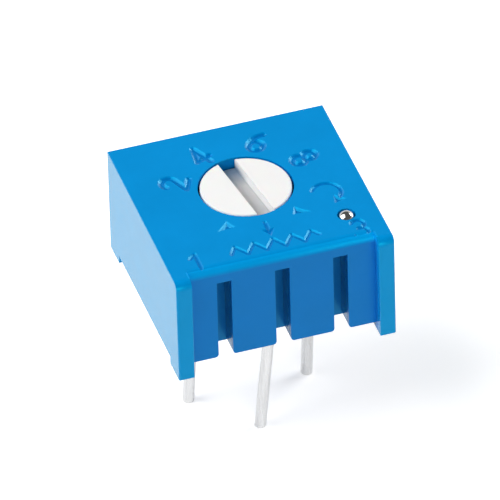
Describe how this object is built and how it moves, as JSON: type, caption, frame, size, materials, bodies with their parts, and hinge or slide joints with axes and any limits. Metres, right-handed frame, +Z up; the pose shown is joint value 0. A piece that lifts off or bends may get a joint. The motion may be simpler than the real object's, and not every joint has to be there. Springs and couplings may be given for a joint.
{
  "type": "trimmer potentiometer",
  "caption": "Square single-turn trimmer potentiometer with a slotted white rotor in a blue case, standing on its round leads.",
  "frame": {"origin": "on the floor at the tips of the leads, under the middle of the square case", "axes": "+Z up along the rotor's axis, +Y to the back of the case, +X to its right, so the recessed front panel with its grooves faces -Y"},
  "size_m": [0.0096, 0.0096, 0.0107],
  "materials": {
    "case_plastic": "moulded bright blue, slightly glossy",
    "rotor_plastic": "moulded white, satin",
    "seal_rubber": "black silicone",
    "spring_metal": "bright stamped spring alloy",
    "ceramic": "fired white alumina",
    "resistive_film": "fired dark cermet film",
    "conductor_film": "fired silver film",
    "lead_metal": "tin-plated wire, dull silver",
    "solder": "satin solder",
    "seal_resin": "cured blue resin",
    "ball_steel": "polished steel"
  },
  "bodies": {
    "case": {"housing": "case_plastic", "o_ring": "seal_rubber", "ceramic_substrate": "ceramic", "resistance_track": "resistive_film", "end_pad_1": "conductor_film", "end_pad_3": "conductor_film", "collector_pad": "conductor_film", "lead_1": "lead_metal", "lead_2": "lead_metal", "lead_3": "lead_metal", "solder_joint_1": "solder", "solder_joint_2": "solder", "solder_joint_3": "solder", "base_seal": "seal_resin", "vent_ball": "ball_steel"},
    "rotor": {"rotor": "rotor_plastic", "wiper_spring": "spring_metal"}
  },
  "joints": [
    {"name": "rotor_turn", "type": "hinge", "parent": "case", "child": "rotor", "pos_m": [0, 0.00057, 0.01058], "axis": [0, 0, 1], "range_deg": [-162, 146]}
  ]
}
